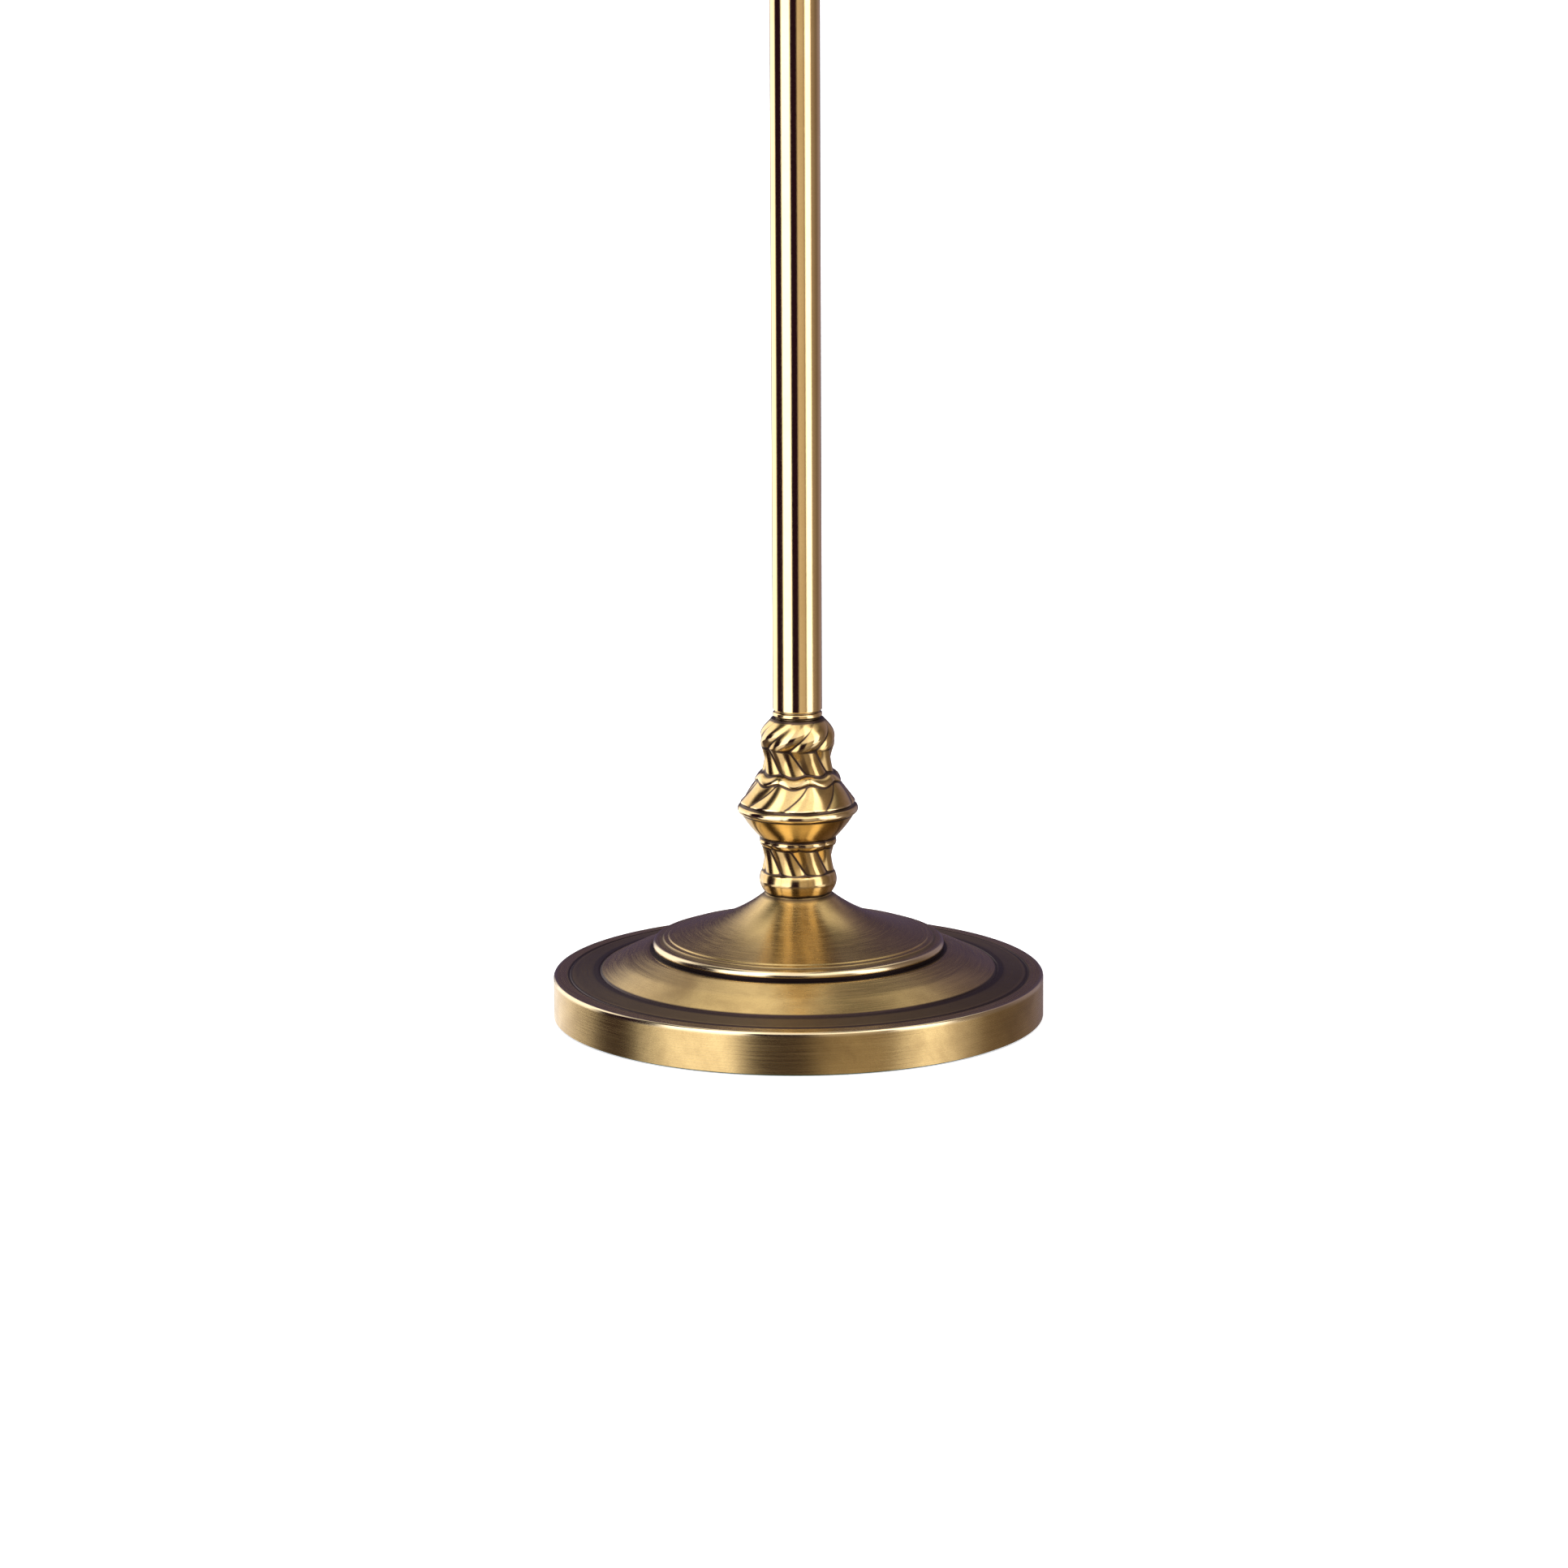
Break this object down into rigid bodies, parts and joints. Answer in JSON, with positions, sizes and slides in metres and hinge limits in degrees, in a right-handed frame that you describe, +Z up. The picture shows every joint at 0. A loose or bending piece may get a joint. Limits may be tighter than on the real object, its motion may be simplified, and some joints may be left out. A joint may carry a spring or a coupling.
{
  "type": "pharmacy floor lamp",
  "caption": "Pharmacy floor lamp: stepped round base, twisted spindle, telescoping column, tilting arm and half-round shade with a turn switch.",
  "frame": {"origin": "on the floor, under the column axis, at the centre of the felt", "axes": "+Z up along the column; the arm points to +X; the cord inlet faces +Y"},
  "size_m": [0.5333, 0.256, 1.2071],
  "materials": {
    "antique_brass": "satin antique",
    "polished_brass": "polished antique",
    "contact_brass": "bright",
    "steel": "zinc plated",
    "iron": "as cast",
    "felt": "felt",
    "nylon": "matt",
    "black_plastic": "moulded",
    "flex": "matt",
    "fibre": "vulcanised",
    "nickel": "bright",
    "frosted_glass": "frosted"
  },
  "bodies": {
    "base": {"base_cover": "antique_brass", "base_weight": "iron", "base_felt": "felt", "base_spacer": "steel", "base_washer": "steel", "base_nut": "steel", "centre_rod": "steel", "cord_bush": "black_plastic", "base_flex": "flex", "spindle": "antique_brass", "seat_ring": "polished_brass", "outer_tube": "polished_brass", "tube_plug": "steel", "guide_upper": "nylon", "clamp_collar": "antique_brass", "clamp_pad": "polished_brass"},
    "clamp": {"clamp_screw": "steel", "clamp_knob": "antique_brass"},
    "mast": {"inner_tube": "polished_brass", "guide_lower": "nylon", "guide_rivets": "steel", "mast_flex": "flex", "swivel_base": "antique_brass", "swivel_stud": "steel", "swivel_washer": "steel", "swivel_nut": "steel", "stop_pin": "steel"},
    "head": {"swivel_head": "antique_brass", "tilt_bolt": "steel"},
    "tilt_nut": {"tilt_knob": "antique_brass"},
    "arm": {"arm_knuckle": "antique_brass", "tilt_washers": "steel", "arm_tube": "polished_brass", "arm_end": "antique_brass", "arm_flex": "flex", "shade_nipple": "steel", "shade_washers": "fibre", "shade_nut": "steel", "socket_cap": "antique_brass", "socket_shell": "antique_brass", "socket_liner": "fibre", "socket_core": "black_plastic", "socket_thread": "contact_brass", "socket_contact": "contact_brass", "bulb_cap": "nickel", "bulb_glass": "frosted_glass"},
    "switch": {"switch_shaft": "polished_brass", "switch_key": "black_plastic"},
    "shade": {"shade_shell": "antique_brass", "shade_ends": "antique_brass", "shade_bead": "polished_brass", "shade_rivets": "polished_brass"}
  },
  "joints": [
    {"name": "mast_slide", "type": "slide", "parent": "base", "child": "mast", "axis": [0, 0, 1], "range_m": [-0.24, 0.286]},
    {"name": "clamp_turn", "type": "hinge", "parent": "base", "child": "clamp", "pos_m": [-0.0245, 0, 0.7685], "axis": [-1, 0, 0], "range_deg": [0, 270]},
    {"name": "head_turn", "type": "hinge", "parent": "mast", "child": "head", "pos_m": [0, 0, 1.1115], "axis": [0, 0, 1], "range_deg": [-165, 165]},
    {"name": "arm_tilt", "type": "hinge", "parent": "head", "child": "arm", "pos_m": [0, 0, 1.1499], "axis": [0, 1, 0], "range_deg": [-60, 45]},
    {"name": "tilt_knob_turn", "type": "hinge", "parent": "head", "child": "tilt_nut", "pos_m": [0, 0.0109, 1.1499], "axis": [0, 1, 0], "range_deg": [0, 180]},
    {"name": "shade_turn", "type": "hinge", "parent": "arm", "child": "shade", "pos_m": [0.2053, 0, 1.1499], "axis": [1, 0, 0], "range_deg": [-90, 90]},
    {"name": "switch_turn", "type": "hinge", "parent": "arm", "child": "switch", "pos_m": [0.2371, 0, 1.1299], "axis": [0, 0, -1], "continuous": true}
  ]
}
